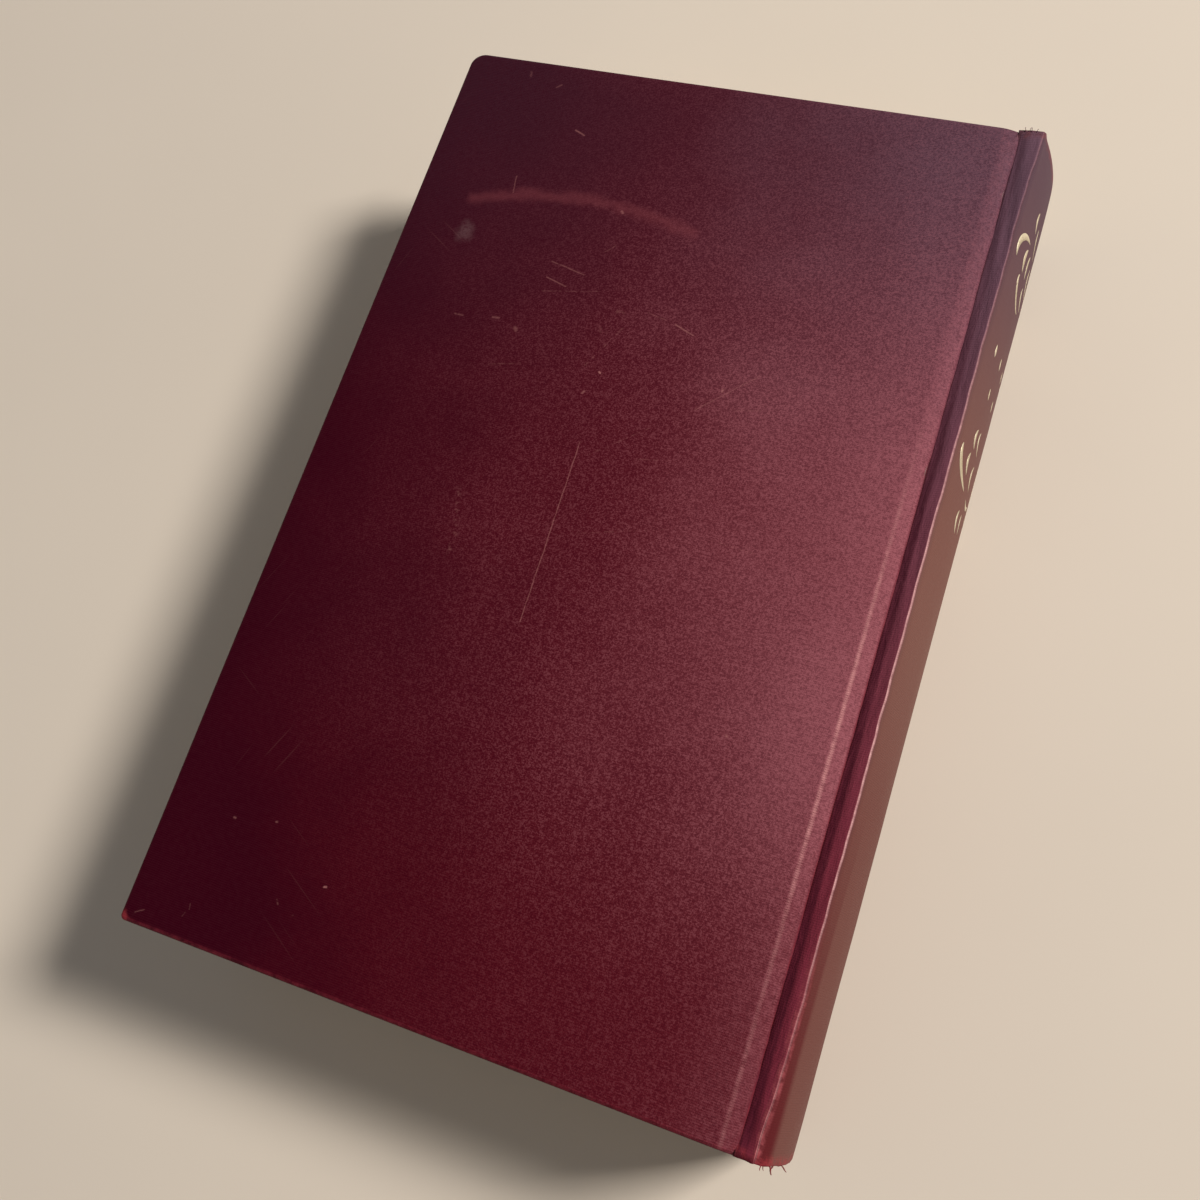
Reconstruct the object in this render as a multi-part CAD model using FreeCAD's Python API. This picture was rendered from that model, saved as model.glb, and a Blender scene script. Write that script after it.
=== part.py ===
"""Hardback book, lying closed on its front cover with the spine towards +X and the head towards +Y.

Millimetres, +Z up. The origin is at the middle of the book's outline on the ground.
Everything on the front cover's side is the back cover's side mirrored in the middle plane.
"""
import math
import os

import FreeCAD
import Part

V = FreeCAD.Vector

# Outside
HEIGHT = 216.0            # head to tail, over the cloth
THICKNESS = 44.0          # cover to cover
COVER_WIDTH = 131.0       # fore edge to the groove
BACK_REACH = 9.3          # from the cover's joint edge out to the spine's outermost line

# Materials' thicknesses
CLOTH = 0.4
MULL = 0.4                # gauze with its glue
BOARD = 2.6
PAPER = 0.15              # endpaper
CARD = 0.5                # spine inlay
KRAFT = 0.2               # spine lining
PASTE = 0.02              # film of paste under the lining

# Case
TURN_IN = 16.0            # cloth folded over on the boards' inner faces
HEAD_CORNER_R = 3.5       # fore-edge corner at the head, bumped round
TAIL_CORNER_R = 1.8
JOINT_CORNER_R = 1.0
EDGE_R = 1.0              # rounding of the cover's outer edges
RIM_WIDTH = 3.1           # band of the cover that slopes down to the groove
RIM_DROP = 1.1
FLANGE = 28.0             # gauze on the board
SPINE_R = 54.0            # round of the back
RIDGE_R = 1.1             # cloth's bend over the shoulder
SLOPE = math.radians(59.7)
GROOVE_FILLET = 0.5
INLAY_MARGIN = 2.4        # from the inlay's long edge to the ridge's centre

# Text block
SQUARE = 3.0              # how far the covers stand proud of the leaves
FORE_EDGE_HOLLOW = 3.8
SHOULDER_DROP = 1.8       # shoulder's tip below the cover's face
BACK_DROP = 2.35          # leaves' back in from the spine's outermost line
FLYLEAF_HINGE = 1.15      # flyleaf reaching past the cover's joint edge
MULL_GAP = 0.35           # between the gauze on the leaves and the gauze on the board
LINING_MARGIN = 2.2       # from the shoulder to the lining's long edge
BAND_MARGIN = 2.7
BAND_TAPE = 12.0          # down the back from the head
BAND_TAPE_THICKNESS = 0.4
BEAD_R = 0.7

SPINE_X = (COVER_WIDTH + BACK_REACH) / 2
FORE_EDGE_X = -SPINE_X
JOINT_EDGE_X = FORE_EDGE_X + COVER_WIDTH
HEAD = HEIGHT / 2
MID_Z = THICKNESS / 2

# Layers of the back cover from the outside in, then the flyleaf and the leaves
BOARD_TOP = THICKNESS - CLOTH
BOARD_UNDER = BOARD_TOP - BOARD
CASE_UNDER = BOARD_UNDER - CLOTH
PASTE_UNDER = CASE_UNDER - PAPER
BLOCK_TOP = PASTE_UNDER - PAPER

# Groove, ridge and round back, in section. Heights are on the back cover's side.
GROOVE_Z = PASTE_UNDER + MULL + CLOTH
RIDGE_Z = THICKNESS - RIDGE_R
BACK_HALF = RIDGE_Z - MID_Z
SPINE_CX = SPINE_X - SPINE_R
RIDGE_X = SPINE_CX + math.sqrt((SPINE_R - RIDGE_R) ** 2 - BACK_HALF ** 2)  # tangent to the back's arc

SHOULDER_Z = THICKNESS - SHOULDER_DROP
SHOULDER_HALF = SHOULDER_Z - MID_Z
BLOCK_SPINE_X = SPINE_X - BACK_DROP
LEAF_HEAD = HEAD - SQUARE
MULL_HEAD = HEAD - TURN_IN

ALONG = V(math.cos(SLOPE), 0, math.sin(SLOPE))
OUTWARD = V(-math.sin(SLOPE), 0, math.cos(SLOPE))
RIDGE = V(RIDGE_X, 0, RIDGE_Z)


def at_z(point, z):
    """Where the sloping line through point reaches the height z."""
    return point + ALONG * ((z - point.z) / ALONG.z)


SHOULDER = at_z(RIDGE + OUTWARD * (RIDGE_R - 2 * CLOTH), SHOULDER_Z)
BACK_ROUND = BLOCK_SPINE_X - SHOULDER.x
BLOCK_SPINE_R = (SHOULDER_HALF ** 2 + BACK_ROUND ** 2) / (2 * BACK_ROUND)
BLOCK_SPINE_CX = BLOCK_SPINE_X - BLOCK_SPINE_R

# Gilding: tapering strokes with their widest width. Points are (out from the middle line, down from the head),
# drawn for a back of this round and mirrored in its middle line. The drawing grows and shrinks with the back.
DRAWN_SCALE = BACK_HALF / 20.9
STROKES = [
    ([(11.6, 12.8), (12.1, 15.2), (11.0, 17.6)], 1.0),
    ([(8.2, 14.6), (7.8, 18.0), (5.4, 21.0)], 0.8),
    ([(19.6, 29.2), (19.7, 25.8), (17.4, 23.0), (13.0, 21.8)], 1.3),
    ([(13.2, 23.4), (14.2, 26.0), (13.6, 29.2)], 1.3),
    ([(9.6, 22.6), (10.4, 25.4), (10.0, 28.6)], 0.9),
    ([(14.6, 30.6), (14.9, 32.6), (12.6, 35.6), (8.6, 36.4)], 1.0),
    ([(8.8, 30.0), (8.6, 32.4), (6.2, 34.4)], 0.9),
    ([(5.4, 23.0), (5.8, 26.6), (3.6, 29.8)], 0.9),
    ([(16.8, 49.0), (16.7, 50.4), (16.6, 51.8)], 0.7),
    ([(11.2, 49.0), (11.1, 50.4), (11.0, 51.8)], 0.7),
    ([(5.6, 49.0), (5.55, 50.4), (5.5, 51.8)], 0.7),
    ([(13.6, 57.6), (13.5, 58.9), (13.4, 60.2)], 0.6),
    ([(8.2, 57.6), (8.1, 58.9), (8.0, 60.2)], 0.6),
    ([(14.2, 67.6), (14.9, 69.8), (14.0, 72.0)], 0.9),
    ([(11.6, 67.0), (12.0, 69.4), (10.4, 72.0)], 0.7),
    ([(20.3, 73.8), (19.9, 76.4), (17.6, 79.2), (13.2, 81.2)], 1.2),
    ([(15.2, 73.4), (15.7, 75.8), (14.6, 78.2)], 0.9),
    ([(9.8, 74.0), (10.6, 76.8), (9.2, 79.6)], 0.8),
    ([(9.4, 81.4), (6.6, 82.2), (4.2, 80.8)], 0.8),
    ([(12.4, 85.2), (12.9, 87.6), (11.6, 90.0)], 0.9),
    ([(9.2, 84.8), (9.4, 86.8), (8.6, 89.0)], 0.6),
]
MIDDLE_STROKES = [
    ([(0.0, 17.0), (0.0, 24.0), (0.0, 32.0)], 1.6),
    ([(0.0, 48.8), (0.0, 50.4), (0.0, 52.0)], 0.8),
    ([(0.0, 69.0), (0.0, 76.0), (0.0, 84.0)], 1.5),
]
FOIL_DEPTH = 0.08         # the foil is pressed into the cloth
FOIL = 0.05


def box(x0, x1, y0, y1, z0, z1):
    return Part.makeBox(x1 - x0, y1 - y0, z1 - z0, V(x0, y0, z0))


def front(shape):
    """The same shape on the front cover's side."""
    return shape.mirror(V(0, 0, MID_Z), V(0, 0, 1))


def tail(shape):
    return shape.mirror(V(0, 0, 0), V(0, 1, 0))


def both_ends(shape):
    return shape.fuse(tail(shape))


def extrude(edges, y0, y1):
    face = Part.Face(Part.Wire(Part.__sortEdges__(edges)))
    face.translate(V(0, y0, 0))
    return face.extrude(V(0, y1 - y0, 0))


def line(a, b):
    return Part.makeLine(a, b)


def arc(centre, radius, start, end):
    """Arc in the section plane between two angles in degrees."""
    def on(angle):
        a = math.radians(angle)
        return centre + V(radius * math.cos(a), 0, radius * math.sin(a))
    return Part.Arc(on(start), on((start + end) / 2), on(end)).toShape(), on(start), on(end)


def ring(cx, r0, r1, half, y0, y1):
    """Part of a tube along the spine, between two radii and within half of the middle height."""
    def cylinder(r):
        return Part.makeCylinder(r, y1 - y0, V(cx, y0, MID_Z), V(0, 1, 0))
    keep = box(cx + 20, cx + r1 + 5, y0, y1, MID_Z - half, MID_Z + half)
    return cylinder(r1).cut(cylinder(r0)).common(keep)


def rounded_slab(inset, z0, z1):
    """A cover's outline with its corners rounded, inset on every side."""
    radii = [(FORE_EDGE_X, HEAD, HEAD_CORNER_R), (JOINT_EDGE_X, HEAD, JOINT_CORNER_R),
             (JOINT_EDGE_X, -HEAD, JOINT_CORNER_R), (FORE_EDGE_X, -HEAD, TAIL_CORNER_R)]
    slab = box(FORE_EDGE_X + inset, JOINT_EDGE_X - inset, -HEAD + inset, HEAD - inset, z0, z1)
    for x, y, r in radii:
        for edge in slab.Edges:
            middle = edge.CenterOfMass
            near = abs(middle.x - x) < inset + 0.01 and abs(middle.y - y) < inset + 0.01
            if near and edge.Length < z1 - z0 + 0.01:
                slab = slab.makeFillet(r - inset, [edge])
                break
    return slab


def round_top(slab, z, radius):
    return slab.makeFillet(radius, [e for e in slab.Edges if abs(e.BoundBox.ZMin - z) < 1e-4
                                    and abs(e.BoundBox.ZMax - z) < 1e-4])


def sloped_rim(slab, z):
    """The slab cut down along its joint edge, on a slope that starts at the height z."""
    crest = V(JOINT_EDGE_X - RIM_WIDTH, 0, z)
    past = V(JOINT_EDGE_X + RIM_WIDTH, 0, z - 2 * RIM_DROP)
    above, over = V(past.x, 0, z + RIM_DROP), V(crest.x, 0, z + RIM_DROP)
    return slab.cut(extrude([line(crest, past), line(past, above), line(above, over), line(over, crest)], -HEIGHT, HEIGHT))


def board():
    slab = round_top(rounded_slab(CLOTH, BOARD_UNDER, BOARD_TOP), BOARD_TOP, EDGE_R - CLOTH)
    return sloped_rim(slab, BOARD_TOP)


def cover_cloth():
    outer = rounded_slab(0, CASE_UNDER, THICKNESS)
    outer = sloped_rim(round_top(outer, THICKNESS, EDGE_R), THICKNESS)
    window = box(FORE_EDGE_X + TURN_IN, JOINT_EDGE_X + 1, -MULL_HEAD, MULL_HEAD, CASE_UNDER - 1, BOARD_UNDER)
    return outer.cut(board()).cut(window)


def mull_flange():
    return box(JOINT_EDGE_X - FLANGE, JOINT_EDGE_X, -MULL_HEAD, MULL_HEAD, CASE_UNDER, BOARD_UNDER)


def pastedown():
    """Endpaper glued over the turn-ins and down onto the board between them."""
    sheet = box(FORE_EDGE_X + SQUARE, JOINT_EDGE_X, -LEAF_HEAD, LEAF_HEAD, PASTE_UNDER, BOARD_UNDER)
    sunk = box(FORE_EDGE_X + TURN_IN + PAPER, JOINT_EDGE_X - FLANGE - PAPER, -MULL_HEAD + PAPER, MULL_HEAD - PAPER,
               PASTE_UNDER - 1, BOARD_UNDER - PAPER)
    return sheet.cut(cover_cloth()).cut(mull_flange()).cut(sunk)


def groove_edges(depth):
    """The groove's line at a depth below the cloth's outside: flat, sloping up, round the ridge to its crest."""
    top = RIDGE + OUTWARD * (RIDGE_R - depth)
    z = GROOVE_Z - depth
    foot = at_z(top, z)
    radius = GROOVE_FILLET + depth
    reach = radius * math.tan(SLOPE / 2)
    start, before, after = V(JOINT_EDGE_X, 0, z), foot - V(reach, 0, 0), foot + ALONG * reach
    bend, _, _ = arc(before + V(0, 0, radius), radius, -90, -90 + math.degrees(SLOPE))
    crest, _, end = arc(RIDGE, RIDGE_R - depth, 90 + math.degrees(SLOPE), 90)
    return [line(start, before), bend, line(after, top), crest], start, end


def joint_layer(near, far, y0, y1):
    outer, a, b = groove_edges(near)
    inner, c, d = groove_edges(far)
    return extrude(outer + inner + [line(a, c), line(b, d)], y0, y1)


def joint_cloth():
    turned = joint_layer(0, 2 * CLOTH, MULL_HEAD, HEAD)
    return joint_layer(0, CLOTH, -HEAD, HEAD).fuse(both_ends(turned)).removeSplitter()


def spine_edges(depth):
    """The spine's line at a depth: crest of one ridge, over the round back, to the crest of the other."""
    angle = math.degrees(math.atan2(RIDGE_Z - MID_Z, RIDGE_X - SPINE_CX))
    top, start, _ = arc(RIDGE, RIDGE_R - depth, 90, angle)
    back, _, _ = arc(V(SPINE_CX, 0, MID_Z), SPINE_R - depth, angle, -angle)
    bottom, _, end = arc(V(RIDGE_X, 0, THICKNESS - RIDGE_Z), RIDGE_R - depth, -angle, -90)
    return [top, back, bottom], start, end


def spine_layer(near, far, y0, y1):
    outer, a, b = spine_edges(near)
    inner, c, d = spine_edges(far)
    return extrude(outer + inner + [line(a, c), line(b, d)], y0, y1)


def spine_inlay():
    return ring(SPINE_CX, SPINE_R - CLOTH - CARD, SPINE_R - CLOTH, (BACK_HALF - INLAY_MARGIN), -HEAD + CLOTH, HEAD - CLOTH)


def stroke(points, width):
    """A leaf-like stroke that tapers at both ends, as a prism through the spine."""
    pole = [V(0, HEAD - down * DRAWN_SCALE, MID_Z + out * DRAWN_SCALE) for out, down in points]
    curve = Part.BSplineCurve()
    curve.interpolate(pole)
    left, right = [], []
    for i in range(9):
        u = curve.FirstParameter + (curve.LastParameter - curve.FirstParameter) * i / 8
        p, d = curve.value(u), curve.tangent(u)[0]
        side = V(0, -d.z, d.y) * (width * DRAWN_SCALE / 2 * (0.12 + 0.88 * math.sin(math.pi * i / 8) ** 0.8))
        left.append(p + side)
        right.append(p - side)
    outline = left + right[::-1]
    face = Part.Face(Part.makePolygon(outline + [outline[0]]))
    face.translate(V(JOINT_EDGE_X, 0, 0))
    return face.extrude(V(SPINE_X + 1 - JOINT_EDGE_X, 0, 0))


def gilt_prisms():
    half = [stroke(points, width) for points, width in STROKES]
    return half + [front(s) for s in half] + [stroke(points, width) for points, width in MIDDLE_STROKES]


def gilding():
    shell = ring(SPINE_CX, SPINE_R - FOIL_DEPTH, SPINE_R - FOIL_DEPTH + FOIL, BACK_HALF, 0, HEAD)
    return Part.makeCompound([s for prism in gilt_prisms() for s in shell.common(prism).Solids])


def spine_cloth():
    cloth = spine_layer(0, CLOTH, -HEAD, HEAD)
    cloth = cloth.fuse(both_ends(spine_layer(0, 2 * CLOTH, MULL_HEAD, HEAD)))
    behind = ring(SPINE_CX, SPINE_R - 2 * CLOTH - CARD, SPINE_R - CLOTH, (BACK_HALF - INLAY_MARGIN) + CLOTH, MULL_HEAD, HEAD)
    cloth = cloth.fuse(both_ends(behind)).cut(spine_inlay()).removeSplitter()
    pressed = ring(SPINE_CX, SPINE_R - FOIL_DEPTH, SPINE_R + 1, BACK_HALF, 0, HEAD)
    return cloth.cut(Part.makeCompound([pressed.common(prism) for prism in gilt_prisms()]))


def block_outline():
    """The leaves' section: hollow fore edge, flat faces, shoulders bent out, round back."""
    top = V(FORE_EDGE_X + SQUARE, 0, BLOCK_TOP)
    foot = at_z(SHOULDER, BLOCK_TOP)

    def low(p):
        return V(p.x, 0, THICKNESS - p.z)
    back = Part.Arc(SHOULDER, V(BLOCK_SPINE_X, 0, MID_Z), low(SHOULDER)).toShape()
    hollow = Part.Arc(low(top), V(top.x + FORE_EDGE_HOLLOW, 0, MID_Z), top).toShape()
    return [line(top, foot), line(foot, SHOULDER), back, line(low(SHOULDER), low(foot)), line(low(foot), low(top)), hollow]


def text_block():
    return extrude(block_outline(), -LEAF_HEAD, LEAF_HEAD)


def flyleaf():
    return box(FORE_EDGE_X + SQUARE, JOINT_EDGE_X + FLYLEAF_HINGE, -LEAF_HEAD, LEAF_HEAD, BLOCK_TOP, BLOCK_TOP + PAPER)


def spine_mull():
    """Gauze over the back of the leaves and down both shoulders to the covers."""
    start = JOINT_EDGE_X + MULL_GAP
    low_z = BLOCK_TOP + PAPER
    inner = [V(start, 0, low_z), at_z(SHOULDER, low_z), SHOULDER]
    raised = SHOULDER + OUTWARD * MULL
    outer = [V(start, 0, low_z + MULL), at_z(raised, low_z + MULL), raised]
    out_angle = math.degrees(math.atan2(SHOULDER_HALF, SHOULDER.x - BLOCK_SPINE_CX))
    turn, _, turned = arc(SHOULDER, MULL, 90 + math.degrees(SLOPE), out_angle)

    def low(p):
        return V(p.x, 0, THICKNESS - p.z)
    half = [line(inner[0], inner[1]), line(inner[1], inner[2]), line(inner[0], outer[0]),
            line(outer[0], outer[1]), line(outer[1], outer[2]), turn]
    mirrored = [front(edge) for edge in half]
    inside = Part.Arc(SHOULDER, V(BLOCK_SPINE_X, 0, MID_Z), low(SHOULDER)).toShape()
    outside = Part.Arc(turned, V(BLOCK_SPINE_X + MULL, 0, MID_Z), low(turned)).toShape()
    return extrude(half + mirrored + [inside, outside], -MULL_HEAD, MULL_HEAD)


def spine_lining():
    r = BLOCK_SPINE_R + MULL + PASTE
    return ring(BLOCK_SPINE_CX, r, r + KRAFT, SHOULDER_HALF - LINING_MARGIN, -MULL_HEAD, MULL_HEAD)


def head_band():
    """Cloth bead on the leaves' head edge with its tape glued down the back."""
    half = SHOULDER_HALF - BAND_MARGIN
    tape = ring(BLOCK_SPINE_CX, BLOCK_SPINE_R, BLOCK_SPINE_R + BAND_TAPE_THICKNESS, half,
                LEAF_HEAD - BAND_TAPE, LEAF_HEAD + BEAD_R)
    bead = Part.makeTorus(BLOCK_SPINE_R, BEAD_R, V(BLOCK_SPINE_CX, LEAF_HEAD + BEAD_R, MID_Z), V(0, 1, 0))
    bead = bead.common(box(BLOCK_SPINE_CX + 20, SPINE_X, LEAF_HEAD, HEAD, MID_Z - half, MID_Z + half))
    return tape.fuse(bead).removeSplitter()


def main():
    band = head_band()
    back = {"board": board(), "cover_cloth": cover_cloth(), "joint_cloth": joint_cloth(),
            "pastedown": pastedown(), "mull_flange": mull_flange(), "flyleaf": flyleaf()}
    pieces = {"back_" + name: shape for name, shape in back.items()}
    pieces.update({"front_" + name: front(shape) for name, shape in back.items()})
    pieces.update({"text_block": text_block(), "spine_mull": spine_mull(), "spine_lining": spine_lining(),
                   "head_band": band, "tail_band": tail(band), "spine_inlay": spine_inlay(),
                   "spine_cloth": spine_cloth(), "spine_gilding": gilding()})
    os.makedirs("parts", exist_ok=True)
    for name in sorted(pieces):
        shape = pieces[name]
        shape.exportStep("parts/%s.step" % name)
        print("%-20s %3d solids  %10.1f mm3  valid %s" % (name, len(shape.Solids), shape.Volume, shape.isValid()))


main()
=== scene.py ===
import math
import random

import bmesh
import bpy
from mathutils import Matrix, Vector, noise


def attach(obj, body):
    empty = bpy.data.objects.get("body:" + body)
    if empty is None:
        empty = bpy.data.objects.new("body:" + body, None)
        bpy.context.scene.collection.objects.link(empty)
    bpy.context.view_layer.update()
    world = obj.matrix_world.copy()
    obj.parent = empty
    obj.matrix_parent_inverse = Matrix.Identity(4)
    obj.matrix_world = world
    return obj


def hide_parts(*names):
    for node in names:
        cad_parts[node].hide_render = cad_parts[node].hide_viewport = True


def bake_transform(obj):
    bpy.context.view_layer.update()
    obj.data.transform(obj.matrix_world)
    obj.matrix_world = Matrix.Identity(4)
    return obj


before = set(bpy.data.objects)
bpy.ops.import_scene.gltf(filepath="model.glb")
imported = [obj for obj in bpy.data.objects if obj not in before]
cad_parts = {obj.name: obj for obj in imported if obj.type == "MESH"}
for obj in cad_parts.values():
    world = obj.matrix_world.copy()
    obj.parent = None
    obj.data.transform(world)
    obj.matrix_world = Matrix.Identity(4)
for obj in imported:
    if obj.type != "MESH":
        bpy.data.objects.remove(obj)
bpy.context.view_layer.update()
print("frame loaded")

# all sizes in metres; the book lies on its front cover, spine towards +X, head towards +Y
book = {"foreEdge": -0.07015, "jointEdge": 0.06085, "spine": 0.07015, "head": 0.108, "thick": 0.044,
        "backRound": 0.054, "ridgeRound": 0.0011, "rimWidth": 0.0031, "rimDrop": 0.0011}
book["middle"] = book["thick"] / 2
book["backCentre"] = book["spine"] - book["backRound"]
book["ridgeZ"] = book["thick"] - book["ridgeRound"]
book["ridgeX"] = book["backCentre"] + math.sqrt((book["backRound"] - book["ridgeRound"]) ** 2
                                                - (book["ridgeZ"] - book["middle"]) ** 2)


# shader helpers

def newGroup(name, inputs, outputs):
    tree = bpy.data.node_groups.new(name, "ShaderNodeTree")
    for label, kind, value in inputs:
        socket = tree.interface.new_socket(label, in_out="INPUT", socket_type="NodeSocket" + kind)
        socket.default_value = value
    for label in outputs:
        tree.interface.new_socket(label, in_out="OUTPUT", socket_type="NodeSocketFloat")
    return tree, tree.nodes.new("NodeGroupInput").outputs, tree.nodes.new("NodeGroupOutput").inputs


def put(tree, kind, values=None, **settings):
    node = tree.nodes.new("ShaderNode" + kind)
    for key, value in settings.items():
        setattr(node, key, value)
    for key, value in (values or {}).items():
        if isinstance(value, bpy.types.NodeSocket):
            tree.links.new(value, node.inputs[key])
        else:
            node.inputs[key].default_value = value
    return node


def useGroup(tree, group, values):
    return put(tree, "Group", values, node_tree=group)


def maths(tree, operation, *values):
    return put(tree, "Math", dict(enumerate(values)), operation=operation).outputs[0]


def times(tree, first, second):
    return maths(tree, "MULTIPLY", first, second)


# value * factor + start
def scaled(tree, value, factor, start):
    return maths(tree, "MULTIPLY_ADD", value, factor, start)


def vectorMaths(tree, operation, first, second, output=0):
    key = "Scale" if operation == "SCALE" else 1
    return put(tree, "VectorMath", {0: first, key: second}, operation=operation).outputs[output]


def mixColour(tree, amount, first, second, blend="MIX"):
    return put(tree, "Mix", {0: amount, 6: first, 7: second}, data_type="RGBA", blend_type=blend).outputs[2]


def softStep(tree, value, low, high):
    values = {"Value": value, "From Min": low, "From Max": high}
    return put(tree, "MapRange", values, interpolation_type="SMOOTHSTEP").outputs["Result"]


def noiseNode(tree, place, scale, detail, **more):
    return put(tree, "TexNoise", {"Vector": place, "Scale": scale, "Detail": detail, **more})


def objectPlace(tree):
    return put(tree, "TexCoord").outputs["Object"]


def addBump(tree, shader, height):
    bump = put(tree, "Bump", {"Strength": 1.0, "Distance": 1.0, "Height": height})
    tree.links.new(bump.outputs[0], shader.inputs["Normal"])


def newMaterial(name, roughness, **sockets):
    material = bpy.data.materials.new(name)
    material.use_nodes = True
    tree = material.node_tree
    shader = tree.nodes["Principled BSDF"]
    shader.inputs["Roughness"].default_value = roughness
    for key, value in sockets.items():
        shader.inputs[key.replace("_", " ")].default_value = value
    return material, tree, shader


# sRGB 0-255 to the linear values that sockets take
def colour(red, green, blue):
    def linear(c):
        c /= 255
        return c / 12.92 if c <= 0.04045 else ((c + 0.055) / 1.055) ** 2.4
    return (linear(red), linear(green), linear(blue), 1)


# shared shader effects

# fine rib of the cloth from its flat coordinates, as a height and a thread mask
def weaveGroup():
    tree, given, out = newGroup("clothWeave", [("Flat", "Vector", (0, 0, 0)), ("Pitch", "Float", 0.00044),
                                               ("Unevenness", "Float", 0.5)], ["Height", "Thread"])
    wobble = noiseNode(tree, given["Flat"], 420.0, 2.0).outputs["Color"]
    drift = vectorMaths(tree, "SCALE", vectorMaths(tree, "SUBTRACT", wobble, (0.5, 0.5, 0.5)), 0.00035)
    axes = put(tree, "SeparateXYZ", {"Vector": vectorMaths(tree, "ADD", given["Flat"], drift)})
    turns = maths(tree, "DIVIDE", 2 * math.pi, given["Pitch"])
    across = maths(tree, "SINE", times(tree, axes.outputs[0], turns))
    along = maths(tree, "SINE", times(tree, axes.outputs[1], turns))
    ribs = maths(tree, "ADD", times(tree, along, 0.55), times(tree, times(tree, across, along), 0.45))
    patchy = maths(tree, "SUBTRACT", noiseNode(tree, given["Flat"], 900.0, 3.0).outputs["Fac"], 0.5)
    height = maths(tree, "ADD", times(tree, ribs, 0.5), times(tree, times(tree, patchy, given["Unevenness"]), 2.0))
    tree.links.new(height, out["Height"])
    tree.links.new(softStep(tree, height, -0.6, 0.9), out["Thread"])
    return tree


# one straight rub between two points of the cover's face; Gaps breaks it up
def rubGroup():
    tree, given, out = newGroup("rubMark", [("Place", "Vector", (0, 0, 0)), ("Gaps", "Float", 0.5),
                                            ("Start", "Vector", (0, 0, 0)), ("End", "Vector", (0, 0, 0)),
                                            ("Width", "Float", 0.0004), ("Broken", "Float", 0.5)], ["Mask"])
    fromStart = vectorMaths(tree, "SUBTRACT", given["Place"], given["Start"])
    run = vectorMaths(tree, "SUBTRACT", given["End"], given["Start"])
    dotRun = vectorMaths(tree, "DOT_PRODUCT", fromStart, run, "Value")
    lengthSquared = vectorMaths(tree, "DOT_PRODUCT", run, run, "Value")
    share = put(tree, "Clamp", {"Value": maths(tree, "DIVIDE", dotRun, lengthSquared)}).outputs[0]
    away = vectorMaths(tree, "DISTANCE", fromStart, vectorMaths(tree, "SCALE", run, share), "Value")
    kept = softStep(tree, maths(tree, "SUBTRACT", given["Gaps"], times(tree, given["Broken"], 0.45)), 0.0, 0.25)
    tree.links.new(times(tree, softStep(tree, away, given["Width"], 0.0), kept), out["Mask"])
    return tree


# many fine scratches in one direction, as a mask
def hairlineGroup():
    tree, given, out = newGroup("hairlines", [("Place", "Vector", (0, 0, 0)), ("Direction", "Float", 0.0),
                                              ("Amount", "Float", 0.3)], ["Mask"])
    spun = put(tree, "VectorRotate", {"Vector": given["Place"], "Angle": given["Direction"]},
               rotation_type="Z_AXIS").outputs[0]
    pulledOut = vectorMaths(tree, "MULTIPLY", spun, (28.0, 1500.0, 0.0))
    fine = softStep(tree, noiseNode(tree, pulledOut, 1.0, 1.0).outputs["Fac"], 0.70, 0.80)
    patchy = softStep(tree, noiseNode(tree, spun, 45.0, 1.0).outputs["Fac"], 0.50, 0.64)
    tree.links.new(times(tree, times(tree, fine, patchy), given["Amount"]), out["Mask"])
    return tree


# a soft-edged band between two values
def stripGroup():
    tree, given, out = newGroup("stripMask", [("At", "Float", 0.0), ("From", "Float", 0.0), ("To", "Float", 0.001),
                                              ("Soft", "Float", 0.0003)], ["Mask"])
    rise = softStep(tree, given["At"], maths(tree, "SUBTRACT", given["From"], given["Soft"]), given["From"])
    fall = softStep(tree, given["At"], maths(tree, "ADD", given["To"], given["Soft"]), given["To"])
    tree.links.new(times(tree, rise, fall), out["Mask"])
    return tree


# cloudy tone plus fine grain, used by paper, board, foil, floor and cloth
def grainGroup():
    tree, given, out = newGroup("toneAndGrain", [("Place", "Vector", (0, 0, 0)), ("Cloud Scale", "Float", 30.0),
                                                 ("Grain Scale", "Float", 2500.0)], ["Cloud", "Grain"])
    cloud = noiseNode(tree, given["Place"], given["Cloud Scale"], 4.0).outputs["Fac"]
    tree.links.new(softStep(tree, cloud, 0.3, 0.7), out["Cloud"])
    tree.links.new(noiseNode(tree, given["Place"], given["Grain Scale"], 3.0).outputs["Fac"], out["Grain"])
    return tree


weave, rubMark, hairlines, strip, toneAndGrain = weaveGroup(), rubGroup(), hairlineGroup(), stripGroup(), grainGroup()

# book cloth

# among these colours, the pale sheen towards the joint, the grey haze at the head and the crest and ridge highlights
# are painted light; the groove's dark foot is painted shade
clothLook = {"deep": colour(50, 0, 15), "middle": colour(88, 19, 31), "paintedSheen": colour(144, 80, 88),
             "low": colour(76, 0, 10), "reflectionHaze": colour(52, 28, 40), "reflectionHazeRight": colour(80, 80, 95),
             "rubbed": colour(160, 94, 102), "highlightPink": colour(206, 142, 140), "ridge": colour(226, 172, 168),
             "shoulder": colour(170, 84, 88), "edge": colour(132, 44, 56), "scratch": colour(186, 122, 118),
             "scuffed": colour(132, 64, 70), "dusty": colour(120, 90, 92), "groove": colour(132, 48, 64),
             "grooveHead": colour(114, 83, 97), "grooveFootShade": colour(70, 22, 36), "spine": colour(111, 74, 66),
             "spineHead": colour(84, 62, 70), "spineTail": colour(84, 26, 30), "bare": colour(150, 52, 58),
             "bareHead": colour(122, 66, 68), "pitch": 0.00044, "weaveDepth": 0.00004, "streakDepth": 0.00012,
             "gloss": 0.02}
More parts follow.
